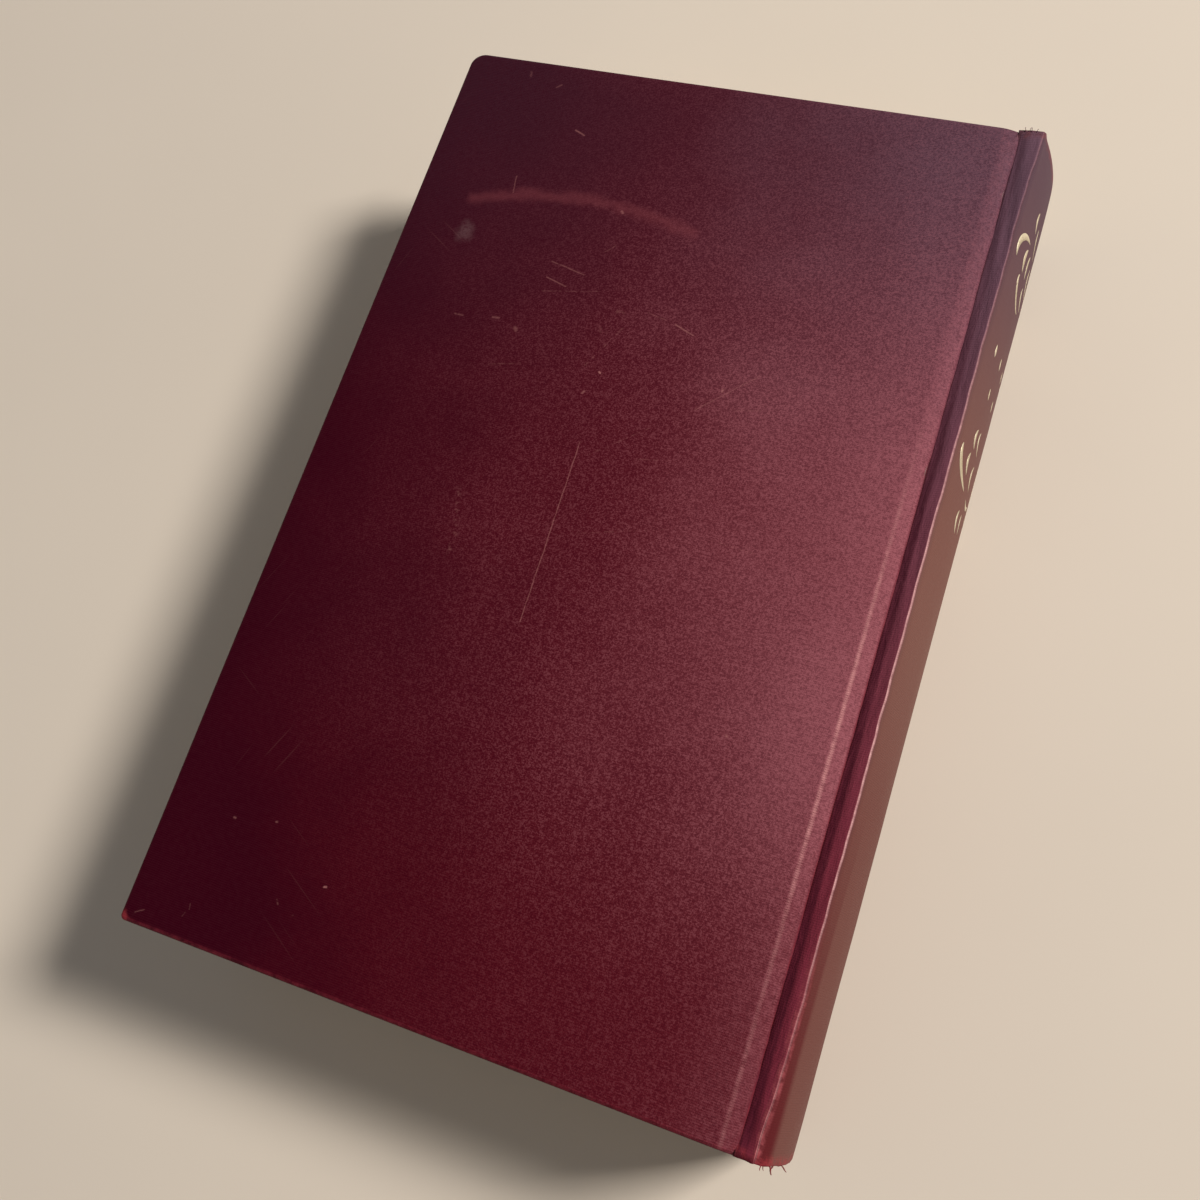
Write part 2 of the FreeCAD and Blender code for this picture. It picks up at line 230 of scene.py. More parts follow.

# strips that run along the joint, by the distance across the case: from, to, softness; crest and ridge carry a painted
# highlight over rubbed wear, foot a painted shade
jointStrips = {"rim": (0.0574, 0.06085, 0.0006), "crest": (0.0576, 0.0577, 0.0006), "edge": (0.06062, 0.0609, 0.0002),
               "groove": (0.0610, 0.0645, 0.0004), "foot": (0.0609, 0.0620, 0.0008),
               "shoulder": (0.0641, 0.0651, 0.0006), "ridge": (0.06464, 0.06480, 0.0002)}

# rubs on the back cover's face: start, end, width, how broken, how strong
rubs = [((-0.0314, 0.0560), (-0.0229, 0.0541), 0.00045, 0.4, 0.50), ((-0.0312, 0.0518), (-0.0261, 0.0505), 0.00045, 0.3, 0.55),
        ((-0.0316, 0.0481), (-0.0180, 0.0509), 0.00035, 0.7, 0.40), ((-0.0492, 0.0386), (-0.0472, 0.0385), 0.00060, 0.6, 0.35),
        ((-0.0401, 0.0395), (-0.0386, 0.0396), 0.00080, 0.6, 0.50), ((-0.0341, 0.0380), (-0.0337, 0.0376), 0.00112, 0.2, 0.50),
        ((-0.0371, 0.0281), (-0.0300, 0.0300), 0.00040, 0.6, 0.35), ((-0.0060, 0.0481), (-0.0013, 0.0471), 0.00040, 0.6, 0.35),
        ((0.0012, 0.0464), (0.0056, 0.0448), 0.00048, 0.2, 0.80), ((-0.0096, 0.0441), (-0.0154, 0.0327), 0.00056, 0.8, 0.40),
        ((-0.0106, 0.0151), (-0.0098, -0.0263), 0.00034, 0.2, 0.75), ((0.0224, 0.0386), (0.0113, 0.0279), 0.00036, 0.4, 0.50),
        ((0.0044, 0.0227), (-0.0081, 0.0125), 0.00040, 0.8, 0.35), ((0.0156, 0.0334), (0.0157, 0.0337), 0.00080, 0.1, 0.80),
        ((-0.0118, 0.0318), (-0.0115, 0.0316), 0.00064, 0.0, 1.50), ((-0.0139, 0.0262), (-0.0136, 0.0267), 0.00064, 0.1, 0.80),
        ((-0.0124, 0.0468), (-0.0113, 0.0465), 0.00144, 0.7, 0.40), ((-0.0148, 0.0419), (-0.0138, 0.0411), 0.00144, 0.8, 0.40),
        ((0.0196, 0.0296), (0.0247, 0.0308), 0.00036, 0.5, 0.40), ((0.0027, 0.0142), (0.0069, 0.0150), 0.00036, 0.5, 0.35),
        ((-0.0055, -0.0051), (0.0133, 0.0005), 0.00040, 0.8, 0.35), ((0.0234, 0.0006), (0.0330, 0.0000), 0.00040, 0.7, 0.35),
        ((-0.0332, -0.0013), (-0.0303, -0.0107), 0.00144, 0.9, 0.45), ((-0.0303, -0.0107), (-0.0300, -0.0160), 0.00144, 0.9, 0.45),
        ((-0.0374, 0.0906), (-0.0350, 0.0896), 0.00056, 0.2, 0.75), ((-0.0538, 0.1045), (-0.0533, 0.1029), 0.00080, 0.6, 0.35),
        ((-0.0460, 0.1014), (-0.0449, 0.1022), 0.00056, 0.4, 0.40), ((-0.0473, 0.0760), (-0.0467, 0.0716), 0.00040, 0.4, 0.50),
        ((-0.0196, 0.0716), (-0.0192, 0.0712), 0.00080, 0.2, 0.70), ((-0.0201, 0.0607), (-0.0183, 0.0626), 0.00040, 0.5, 0.35),
        ((-0.0670, -0.1057), (-0.0653, -0.1047), 0.00036, 0.5, 0.45), ((-0.0561, -0.1005), (-0.0559, -0.1015), 0.00034, 0.6, 0.40),
        ((-0.0565, -0.1023), (-0.0570, -0.1037), 0.00034, 0.7, 0.40), ((-0.0541, -0.0818), (-0.0538, -0.0818), 0.00064, 0.1, 0.60),
        ((-0.0300, -0.0886), (-0.0296, -0.0885), 0.00058, 0.0, 1.40), ((-0.0449, -0.0799), (-0.0447, -0.0798), 0.00056, 0.1, 0.60),
        ((-0.0385, -0.0940), (-0.0380, -0.0947), 0.00048, 0.5, 0.40), ((-0.0346, -0.0962), (-0.0341, -0.0956), 0.00048, 0.6, 0.40),
        ((0.0377, -0.0371), (0.0379, -0.0372), 0.00064, 0.1, 0.80)]
rubLook = {"width": 0.6, "broken": 0.15, "strength": 0.42, "sway": 0.0005}
hairlineLook = {"directions": (0.55, -1.15, 1.9), "amount": 0.045}
# pale curved scuff near the head: points of its line
scuff = {"line": [(-0.0555, 0.0683), (-0.0449, 0.0714), (-0.0280, 0.0733), (-0.0141, 0.0719), (-0.0022, 0.0692)],
         "width": 0.0027, "broken": 0.25, "strength": 0.27, "sway": 0.0030}
dust = {"line": [(-0.0545, 0.0592), (-0.0544, 0.0602)], "width": 0.0031, "broken": 0.6, "strength": 0.36}


# deep at the fore edge; paler towards the joint, a painted sheen; greyer at the head, a painted reflection haze
def clothBase(tree, place, along, out, thread, tone):
    across = scaled(tree, maths(tree, "SUBTRACT", tone.outputs["Cloud"], 0.5), 0.014, out)
    across = scaled(tree, softStep(tree, along, 0.0, -0.115), -0.030, across)
    fromMiddle = maths(tree, "ABSOLUTE", maths(tree, "SUBTRACT", along, -0.002))
    base = mixColour(tree, softStep(tree, across, -0.080, 0.026), clothLook["deep"], clothLook["middle"])
    atMiddle = scaled(tree, softStep(tree, fromMiddle, 0.02, 0.105), -0.7, 1.0)
    # painted sheen: the cloth made paler towards the joint, less so towards head and tail
    base = mixColour(tree, times(tree, softStep(tree, across, -0.012, 0.080), atMiddle), base, clothLook["paintedSheen"])
    # painted reflection haze: greyer towards the head, a bluer grey towards the joint
    reflectionHaze = mixColour(tree, softStep(tree, across, -0.015, 0.062), clothLook["reflectionHaze"], clothLook["reflectionHazeRight"])
    base = mixColour(tree, times(tree, softStep(tree, along, 0.0, 0.11), 0.5), base, reflectionHaze)
    atTail = times(tree, softStep(tree, along, -0.030, -0.085), softStep(tree, across, -0.085, -0.040))
    base = mixColour(tree, times(tree, atTail, 0.33), base, clothLook["low"])
    fibres = noiseNode(tree, place, 2500.0, 2.0, Roughness=0.6, Distortion=0.8).outputs["Fac"]
    tufts = scaled(tree, tone.outputs["Grain"], 0.22, times(tree, fibres, 0.78))
    grainy = times(tree, softStep(tree, tufts, 0.48, 0.60), softStep(tree, across, -0.080, 0.055))
    for start, end, less in ((0.03, 0.10, -0.6), (-0.050, -0.100, -0.5)):
        grainy = times(tree, grainy, scaled(tree, softStep(tree, along, start, end), less, 1.0))
    base = mixColour(tree, times(tree, grainy, 0.38), base, clothLook["rubbed"])
    base = mixColour(tree, times(tree, softStep(tree, tufts, 0.51, 0.40), 0.36), base, clothLook["deep"])
    # painted highlight: threads near the crest in the lower half made pale with the rubbed pink, over a little rubbed
    # wear everywhere
    crestRibHighlight = times(tree, softStep(tree, out, 0.045, 0.058), softStep(tree, along, 0.03, -0.07))
    return mixColour(tree, times(tree, thread, scaled(tree, crestRibHighlight, 0.22, 0.04)), base, clothLook["rubbed"])


# the board's crest and the ridge rubbed and given a painted highlight, the edge rubbed, the groove tinted with a
# painted shade at its foot, browner on the spine
def jointWear(tree, base, along, out, side, thread, streak, wear, on):
    low, belowHead = softStep(tree, along, 0.045, -0.030), softStep(tree, along, 0.090, 0.0)
    sideways = times(tree, softStep(tree, side, 0.0205, 0.0175), 0.7)
    back = mixColour(tree, maths(tree, "MAXIMUM", softStep(tree, along, -0.115, 0.0), sideways),
                     clothLook["spineTail"], clothLook["spine"])
    back = mixColour(tree, softStep(tree, along, 0.01, 0.11), back, clothLook["spineHead"])
    base = mixColour(tree, softStep(tree, out, 0.0646, 0.0652), base, back)
    grooveTint = mixColour(tree, softStep(tree, along, -0.070, 0.100), clothLook["groove"], clothLook["grooveHead"])
    # crest and ridge: rubbed wear with a painted highlight line along each
    crest = times(tree, low, scaled(tree, softStep(tree, along, -0.045, -0.080), -0.75, 1.0))
    crest = times(tree, crest, scaled(tree, thread, 0.65, times(tree, wear, 0.4)))
    ridge = times(tree, belowHead, scaled(tree, softStep(tree, along, -0.050, -0.085), -0.8, 1.0))
    ridge = times(tree, scaled(tree, ridge, 0.85, 0.15), scaled(tree, wear, 0.45, 0.45))
    # painted shade: a dark streaky band at the groove's foot, along the cover's edge, weaker towards the head
    foot = times(tree, scaled(tree, streak, -0.9, 1.1), scaled(tree, belowHead, 0.7, 0.3))
    shoulder = times(tree, softStep(tree, along, -0.055, -0.095), scaled(tree, wear, 0.6, 0.1))
    onFace = softStep(tree, side, 0.0198, 0.0203)
    for name, amount, tint in (("rim", scaled(tree, wear, 0.12, 0.02), clothLook["rubbed"]),
                               ("crest", crest, clothLook["highlightPink"]),
                               ("edge", times(tree, low, scaled(tree, wear, 0.5, 0.2)), clothLook["bare"]),
                               ("groove", scaled(tree, streak, -0.3, 1.0), grooveTint),
                               ("foot", foot, clothLook["grooveFootShade"]),
                               ("shoulder", shoulder, clothLook["shoulder"]), ("ridge", ridge, clothLook["ridge"])):
        base = mixColour(tree, times(tree, times(tree, on[name], amount), onFace), base, tint)
    return base


# worn along the covers' outer edges, at both ends of the joint and at the tail's corner
def edgeWear(tree, base, level, along, out, side, patches, wear):
    tailOrFore = maths(tree, "MAXIMUM", softStep(tree, along, -0.1068, -0.1077),
                       times(tree, softStep(tree, out, -0.0693, -0.0700), 0.5))
    onEdge = times(tree, tailOrFore, softStep(tree, side, 0.0211, 0.0217))
    base = mixColour(tree, times(tree, onEdge, scaled(tree, wear, 0.6, 0.1)), base, clothLook["edge"])
    nearJoint = times(tree, softStep(tree, out, 0.0590, 0.0612), scaled(tree, wear, 0.5, 0.1))
    atEnd = softStep(tree, scaled(tree, patches, 0.0022, maths(tree, "ABSOLUTE", along)), 0.1068, 0.1084)
    bare = mixColour(tree, softStep(tree, along, -0.05, 0.05), clothLook["bare"], clothLook["bareHead"])
    base = mixColour(tree, times(tree, atEnd, nearJoint), base, bare)
    fromCorner = vectorMaths(tree, "DISTANCE", level, (-0.0698, -0.1076, 0.0), "Value")
    corner = softStep(tree, scaled(tree, patches, -0.0018, fromCorner), 0.0012, 0.0002)
    return mixColour(tree, times(tree, corner, 0.6), base, clothLook["bare"])


# the back cover's own scuff, dusty spot, rubs and hairlines
def coverMarks(tree, base, level, height):
    upper = softStep(tree, height, 0.0420, 0.0430)
    ragged = noiseNode(tree, level, 350.0, 3.0).outputs["Color"]
    centred = vectorMaths(tree, "SUBTRACT", ragged, (0.5, 0.5, 0.5))
    gaps = noiseNode(tree, level, 900.0, 2.0).outputs["Fac"]

    def shaken(sway):
        return vectorMaths(tree, "ADD", level, vectorMaths(tree, "SCALE", centred, sway))

    def mark(place, start, end, width, broken):
        return useGroup(tree, rubMark, {"Place": place, "Gaps": gaps, "Start": (*start, 0), "End": (*end, 0),
                                        "Width": width, "Broken": broken}).outputs["Mask"]

    little, much = shaken(rubLook["sway"]), shaken(scuff["sway"])
    for soft, tint in ((scuff, clothLook["scuffed"]), (dust, clothLook["dusty"])):
        band = 0.0
        for start, end in zip(soft["line"], soft["line"][1:]):
            band = maths(tree, "MAXIMUM", band, mark(much, start, end, soft["width"], soft["broken"]))
        base = mixColour(tree, times(tree, times(tree, band, soft["strength"]), upper), base, tint)
    mask = 0.0
    for start, end, width, broken, strength in rubs:
        one = mark(little, start, end, width * rubLook["width"], broken + rubLook["broken"])
        mask = maths(tree, "MAXIMUM", mask, times(tree, one, strength * rubLook["strength"]))
    for direction in hairlineLook["directions"]:
        one = useGroup(tree, hairlines, {"Place": level, "Direction": direction, "Amount": hairlineLook["amount"]})
        mask = maths(tree, "MAXIMUM", mask, one.outputs["Mask"])
    return mixColour(tree, times(tree, mask, upper), base, clothLook["scratch"])


def clothMaterial(name, marked=False):
    material, tree, shader = newMaterial(name, 0.5, IOR=1.5, Specular_IOR_Level=clothLook["gloss"])
    place = objectPlace(tree)
    axes = put(tree, "SeparateXYZ", {"Vector": place}).outputs
    along, level = axes[1], vectorMaths(tree, "MULTIPLY", place, (1.0, 1.0, 0.0))
    lie = put(tree, "SeparateXYZ", {"Vector": put(tree, "UVMap", uv_map="clothLie").outputs[0]})
    out, side = lie.outputs[0], lie.outputs[1]
    flat = put(tree, "UVMap", uv_map="clothFlat").outputs[0]
    threads = useGroup(tree, weave, {"Flat": flat, "Pitch": clothLook["pitch"], "Unevenness": 0.5})
    tone = useGroup(tree, toneAndGrain, {"Place": place, "Cloud Scale": 34.0, "Grain Scale": 800.0})
    streakPlace = vectorMaths(tree, "MULTIPLY", place, (1300.0, 240.0, 1300.0))
    streak = noiseNode(tree, streakPlace, 1.0, 4.0, Roughness=0.6, Distortion=1.6).outputs["Fac"]
    patches = noiseNode(tree, place, 700.0, 5.0, Roughness=0.7).outputs["Fac"]
    wear = softStep(tree, patches, 0.34, 0.66)
    on = {name: useGroup(tree, strip, {"At": out, "From": start, "To": end, "Soft": soft}).outputs["Mask"]
          for name, (start, end, soft) in jointStrips.items()}
    base = clothBase(tree, place, along, out, threads.outputs["Thread"], tone)
    base = jointWear(tree, base, along, out, side, threads.outputs["Thread"], streak, wear, on)
    base = edgeWear(tree, base, level, along, out, side, patches, wear)
    if marked:
        base = coverMarks(tree, base, level, axes[2])
    tree.links.new(base, shader.inputs["Base Color"])
    tree.links.new(scaled(tree, tone.outputs["Cloud"], 0.08, 0.46), shader.inputs["Roughness"])
    streaky = times(tree, times(tree, streak, on["groove"]), clothLook["streakDepth"])
    addBump(tree, shader, scaled(tree, threads.outputs["Height"], clothLook["weaveDepth"], streaky))
    return material


# paper, board, gauze, foil

def sheetMaterial(name, first, second, roughness, cloudScale, grainScale, depth):
    material, tree, shader = newMaterial(name, roughness)
    tone = useGroup(tree, toneAndGrain, {"Place": objectPlace(tree), "Cloud Scale": cloudScale,
                                         "Grain Scale": grainScale})
    base = mixColour(tree, tone.outputs["Cloud"], first, second)
    base = mixColour(tree, times(tree, tone.outputs["Grain"], 0.3), base, second, "MULTIPLY")
    tree.links.new(base, shader.inputs["Base Color"])
    addBump(tree, shader, times(tree, tone.outputs["Grain"], depth))
    return material


# edges of many leaves: fine lines that follow the leaves, toned and foxed
def leafEdgeMaterial():
    material, tree, shader = newMaterial("leafEdges", 0.85)
    place = objectPlace(tree)
    squeezed = vectorMaths(tree, "MULTIPLY", place, (11.0, 11.0, 9000.0))
    lines = noiseNode(tree, squeezed, 1.0, 4.0, Roughness=0.7).outputs["Fac"]
    broad = vectorMaths(tree, "MULTIPLY", place, (14.0, 14.0, 420.0))
    bands = noiseNode(tree, broad, 1.0, 2.0).outputs["Fac"]
    base = mixColour(tree, softStep(tree, bands, 0.3, 0.7), colour(222, 206, 172), colour(232, 219, 190))
    base = mixColour(tree, times(tree, softStep(tree, lines, 0.58, 0.36), 0.75), base, colour(166, 142, 106))
    spots = put(tree, "TexVoronoi", {"Vector": place, "Scale": 120.0}).outputs["Distance"]
    base = mixColour(tree, times(tree, softStep(tree, spots, 0.12, 0.04), 0.4), base, colour(150, 104, 60))
    tree.links.new(base, shader.inputs["Base Color"])
    addBump(tree, shader, times(tree, lines, 0.00006))
    return material


# striped headband cloth
def bandMaterial():
    material, tree, shader = newMaterial("headband", 0.8, Sheen_Weight=0.3)
    rise = put(tree, "SeparateXYZ", {"Vector": objectPlace(tree)}).outputs[2]
    stripe = maths(tree, "SINE", times(tree, rise, 2 * math.pi / 0.0013))
    base = mixColour(tree, softStep(tree, stripe, -0.25, 0.25), colour(214, 200, 168), colour(122, 26, 34))
    tree.links.new(base, shader.inputs["Base Color"])
    twist = maths(tree, "SINE", times(tree, rise, 2 * math.pi / 0.00033))
    addBump(tree, shader, times(tree, twist, 0.00004))
    return material


def gauzeMaterial():
    material, tree, shader = newMaterial("mull", 0.9)
    axes = put(tree, "SeparateXYZ", {"Vector": objectPlace(tree)}).outputs
    flat = put(tree, "CombineXYZ", {"X": maths(tree, "ADD", axes[0], axes[2]), "Y": axes[1]}).outputs[0]
    threads = useGroup(tree, weave, {"Flat": flat, "Pitch": 0.0011, "Unevenness": 0.3})
    base = mixColour(tree, threads.outputs["Thread"], colour(150, 134, 104), colour(226, 218, 196))
    tree.links.new(base, shader.inputs["Base Color"])
    addBump(tree, shader, times(tree, threads.outputs["Height"], 0.0001))
    return material


# stamped pale gold, thin and rubbed so that cloth shows through in specks
def foilMaterial():
    material, tree, shader = newMaterial("giltFoil", 0.42)
    tone = useGroup(tree, toneAndGrain, {"Place": objectPlace(tree), "Cloud Scale": 160.0, "Grain Scale": 3800.0})
    lost = softStep(tree, tone.outputs["Grain"], 0.60, 0.68)
    gold = mixColour(tree, tone.outputs["Cloud"], colour(208, 194, 164), colour(186, 170, 138))
    tree.links.new(mixColour(tree, lost, gold, colour(120, 60, 60)), shader.inputs["Base Color"])
    tree.links.new(scaled(tree, lost, -0.4, 0.4), shader.inputs["Metallic"])
    addBump(tree, shader, times(tree, tone.outputs["Grain"], 0.00005))
    return material


clothMarked, clothPlain = clothMaterial("bookClothBack", marked=True), clothMaterial("bookCloth")
leafEdges, headbandCloth, mullGauze, giltFoil = leafEdgeMaterial(), bandMaterial(), gauzeMaterial(), foilMaterial()
endpaper = sheetMaterial("endpaper", colour(232, 221, 196), colour(222, 206, 174), 0.8, 18.0, 2600.0, 0.00003)
kraft = sheetMaterial("kraftPaper", colour(172, 134, 92), colour(150, 112, 74), 0.85, 60.0, 2200.0, 0.00005)
greyboard = sheetMaterial("greyboard", colour(150, 142, 130), colour(126, 116, 104), 0.9, 90.0, 1600.0, 0.0001)
inlayCard = sheetMaterial("inlayCard", colour(176, 158, 130), colour(156, 138, 110), 0.9, 80.0, 1900.0, 0.00005)
print("materials ready")


# mesh helpers

same = 1e-6  # points closer than this lie on the same line or level


def clamped(value):
    return min(1.0, max(0.0, value))


def finishPiece(name, bm, materials, smooth=True):
    mesh = bpy.data.meshes.new(name)
    bm.to_mesh(mesh)
    bm.free()
    for face in mesh.polygons:
        face.use_smooth = smooth
    piece = bpy.data.objects.new(name, mesh)
    bpy.context.scene.collection.objects.link(piece)
    for material in materials:
        mesh.materials.append(material)
    return piece


# turn the open sheet so that its faces look outward
def facing(bm, outward):
    if sum(face.normal.dot(Vector(outward)) for face in bm.faces) < 0:
        bmesh.ops.reverse_faces(bm, faces=bm.faces[:])
    bm.normal_update()


# two maps in metres: flat cloth for the weave, and where each point lies across the case for the wear
def layCloth(bm, across, along):
    flat, lie = bm.loops.layers.uv.new("clothFlat"), bm.loops.layers.uv.new("clothLie")
    for face in bm.faces:
        for loop in face.loops:
            co = loop.vert.co
            loop[flat].uv = (across(co), along(co))
            loop[lie].uv = (co.x, abs(co.z - book["middle"]))


def isVert(item):
    return isinstance(item, bmesh.types.BMVert)


def isEdge(item):
    return isinstance(item, bmesh.types.BMEdge)


# a straight row of edges between two points
def edgeRow(bm, start, end, cuts):
    row = bm.edges.new([bm.verts.new(start), bm.verts.new(end)])
    made = bmesh.ops.subdivide_edges(bm, edges=[row], cuts=cuts)
    return [row] + [item for item in made["geom_split"] if isEdge(item) and item is not row]


# extrude the row by a step several times and return the last row
def carry(bm, row, step, count):
    for _ in range(count):
        made = bmesh.ops.extrude_edge_only(bm, edges=row)["geom"]
        bmesh.ops.translate(bm, verts=[v for v in made if isVert(v)], vec=step)
        row = [e for e in made if isEdge(e) and all(v in made for v in e.verts)]
    return row


# spin the row about a line from tail to head; positive goes from up towards the spine
def turn(bm, row, centre, degrees, steps):
    made = bmesh.ops.spin(bm, geom=row + list({v for e in row for v in e.verts}), cent=centre, axis=(0, 1, 0),
                          angle=math.radians(degrees), steps=steps, use_duplicate=False)
    return [item for item in made["geom_last"] if isEdge(item)]


def cut(bm, place, across):
    bmesh.ops.bisect_plane(bm, geom=bm.verts[:] + bm.edges[:] + bm.faces[:], plane_co=place, plane_no=across)


def bevel(bm, edges, radius, segments):
    bmesh.ops.bevel(bm, geom=edges, offset=radius, segments=segments, profile=0.5, affect="EDGES", material=-1)


# small unevenness of the cloth where it is drawn over the shoulders: sizes in metres, noise per metre
drawn = {"reach": 0.0024, "depth": 0.003, "sway": ((0.0002, 55), (0.00018, 210)), "dip": 0.0002,
         "headOut": 0.0007, "headFrom": 0.082, "headRun": 0.022, "tailIn": 0.0008, "tailFrom": 0.078, "tailRun": 0.026,
         "bulge": 0.00015}


def pulled(co):
    nearRidge = max(0.0, 1 - abs(co.x - book["ridgeX"]) / drawn["reach"])
    nearFace = max(0.0, 1 - (book["middle"] - abs(co.z - book["middle"])) / drawn["depth"])
    (wide, perWide), (narrow, perNarrow) = drawn["sway"]
    sway = wide * noise.noise((0.3, co.y * perWide, 1.7)) + narrow * noise.noise((4.1, co.y * perNarrow, 0.2))
    atHead = drawn["headOut"] * clamped((co.y - drawn["headFrom"]) / drawn["headRun"]) ** 2
    sway += atHead - drawn["tailIn"] * clamped((-co.y - drawn["tailFrom"]) / drawn["tailRun"]) ** 2
    dip = abs(noise.noise((7.7, co.y * 38, 3.1))) + 0.6 * abs(noise.noise((2.2, co.y * 160, 6.6)))
    down = -math.copysign(dip * drawn["dip"], co.z - book["middle"])
    return Vector((sway, 0, down)) * (nearRidge * nearFace)


# the round back isn't quite even; the gilding follows it
def bulge(y, z):
    return drawn["bulge"] * abs(noise.noise((z * 60, y * 30, 9.0)))


worn = {"from": 0.100, "run": 0.008, "lost": 0.0003, "ragged": 0.0001, "groove": 0.0605, "into": 0.002}


# the tail end of the spine is worn short and ragged
def wornTail(co):
    end = max(0.0, (-worn["from"] - co.y) / worn["run"])
    lost = worn["lost"] * abs(noise.noise((co.z * 260, co.x * 260, 3.0)))
    lost += worn["ragged"] * noise.noise((co.z * 900, co.x * 900, 8.0))
    return lost * end ** 3 * clamped((co.x - worn["groove"]) / worn["into"])


# the same sheet on the front cover's side
def toFront(bm):
    bmesh.ops.scale(bm, verts=bm.verts, vec=(1, 1, -1))
    bmesh.ops.translate(bm, verts=bm.verts, vec=(0, 0, book["thick"]))
    bmesh.ops.reverse_faces(bm, faces=bm.faces[:])


# cover cloth with its strip over the groove

cover = {"under": 0.0406, "cornerHead": 0.0035, "cornerTail": 0.0011, "cornerJoint": 0.0005, "edgeRound": 0.0009,
         "underRound": 0.0002, "cloth": 0.0004, "crestSoft": 0.0012, "wavy": 0.0016, "bumpy": 0.00012,
         "turnIn": 0.0158, "jointTurnIn": 0.0006, "recess": 0.0007, "recessWall": 0.00004,
         "wide": 0.006, "narrow": 0.00045, "long": 0.002}


def coverSlab(bm):
    fore, joint, head = book["foreEdge"], book["jointEdge"], book["head"]
    top, under = book["thick"], cover["under"]
    bmesh.ops.create_cube(bm, size=1)
    bmesh.ops.scale(bm, verts=bm.verts, vec=(joint - fore, 2 * head, top - under))
    bmesh.ops.translate(bm, verts=bm.verts, vec=((joint + fore) / 2, 0, (top + under) / 2))
    for x, y, radius in ((fore, head, cover["cornerHead"]), (fore, -head, cover["cornerTail"]),
                         (joint, head, cover["cornerJoint"]), (joint, -head, cover["cornerJoint"])):
        corner = [e for e in bm.edges if all(abs(v.co.x - x) < same and abs(v.co.y - y) < same for v in e.verts)]
        bevel(bm, corner, radius, 8)
    for level, radius, segments in ((top, cover["edgeRound"], 5), (under, cover["underRound"], 2)):
        bevel(bm, [e for e in bm.edges if all(abs(v.co.z - level) < same for v in e.verts)], radius, segments)
    for x in [fore + cover["wide"] * i for i in range(1, 20)] + [joint - cover["narrow"] * i for i in range(2, 11)]:
        cut(bm, (x, 0, 0), (1, 0, 0))
    for i in range(1, 108):
        cut(bm, (0, -head + cover["long"] * i, 0), (0, 1, 0))
    left, right, end = fore + cover["turnIn"], joint - cover["jointTurnIn"], head - cover["turnIn"]
    for place, across in (((left, 0, 0), (1, 0, 0)), ((right, 0, 0), (1, 0, 0)),
                          ((0, end, 0), (0, 1, 0)), ((0, -end, 0), (0, 1, 0))):
        for aside in (-0.5, 0.5):
            cut(bm, Vector(place) + aside * cover["recessWall"] * Vector(across), across)
    for vert in bm.verts:  # bare board inside the turned-in cloth, where the pastedown lies deeper
        if abs(vert.co.z - under) < same and left < vert.co.x < right and abs(vert.co.y) < end:
            vert.co.z += cover["recess"]
    for vert in bm.verts:  # slopes down to the groove, and the cloth isn't quite flat
        past = vert.co.x - (joint - book["rimWidth"])
        slope = book["rimDrop"] / book["rimWidth"] * (past + math.sqrt(past ** 2 + cover["crestSoft"] ** 2)) / 2
        bumpy = cover["bumpy"] * abs(noise.noise((vert.co.x * 18, vert.co.y * 18, 2.0)))
        share = max(0.0, (vert.co.z - under - cover["recess"]) / (top - under - cover["recess"]))
        vert.co.z -= (slope + bumpy) * share
        nearEdge = max(0.0, 1 - (joint - vert.co.x) / cover["wavy"])
        waves = 0.0003 * abs(noise.noise((3.3, vert.co.y * 60, 1.0)))
        waves += 0.00025 * abs(noise.noise((8.8, vert.co.y * 170, 4.0)))
        vert.co.x -= nearEdge * waves
    bm.normal_update()


groove = {"slope": 25.0, "width": 0.0039, "endFill": 0.0012, "endLength": 0.007, "unevenness": 0.0002,
          "tuckedIn": 0.0007, "cuts": 215, "steps": 12}


# cloth from the ridge's crest down to the cover's edge, filled up at both ends by the cloth that is folded in there
def grooveStrip(bm):
    slope = math.radians(groove["slope"])
    row = edgeRow(bm, (book["ridgeX"], -book["head"], book["thick"]), (book["ridgeX"], book["head"], book["thick"]),
                  groove["cuts"])
    row = turn(bm, row, (book["ridgeX"], 0, book["ridgeZ"]), -groove["slope"], 4)
    run = book["ridgeX"] - book["ridgeRound"] * math.sin(slope) - book["jointEdge"] + groove["tuckedIn"]
    carry(bm, row, Vector((-run, 0, -run * math.tan(slope))) / groove["steps"], groove["steps"])


def uneven(co):
    low = clamped((book["ridgeX"] - co.x) / 0.0015) * clamped((co.x - book["jointEdge"]) / 0.0005)
    end = max(0.0, 1 - (book["head"] - abs(co.y)) / groove["endLength"])
    filled = groove["endFill"] * end ** 2 * ((book["ridgeX"] - co.x) / groove["width"])
    return filled + groove["unevenness"] * low * noise.noise((co.x * 500, co.y * 80, 5.0))


def coverCloth(name, front, material):
    bm = bmesh.new()
    grooveStrip(bm)
    facing(bm, (-0.3, 0, 1))
    bmesh.ops.solidify(bm, geom=bm.faces[:], thickness=cover["cloth"])
    inGroove = bm.verts[:]
    slab = bmesh.new()
    coverSlab(slab)
    joined = bpy.data.meshes.new("slab")
    slab.to_mesh(joined)
    slab.free()
    bm.from_mesh(joined)
    bpy.data.meshes.remove(joined)
    layCloth(bm, lambda co: co.x + co.z, lambda co: co.y + (co.z if abs(co.y) > 0.1075 else 0))
    for vert in inGroove:
        shift = pulled(vert.co)
        vert.co += Vector((shift.x, wornTail(vert.co), shift.z + uneven(vert.co)))
    if front:
        toFront(bm)
    piece = finishPiece(name, bm, [material])
    side = "front" if front else "back"
    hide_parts(side + "_cover_cloth", side + "_joint_cloth")
    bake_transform(piece)


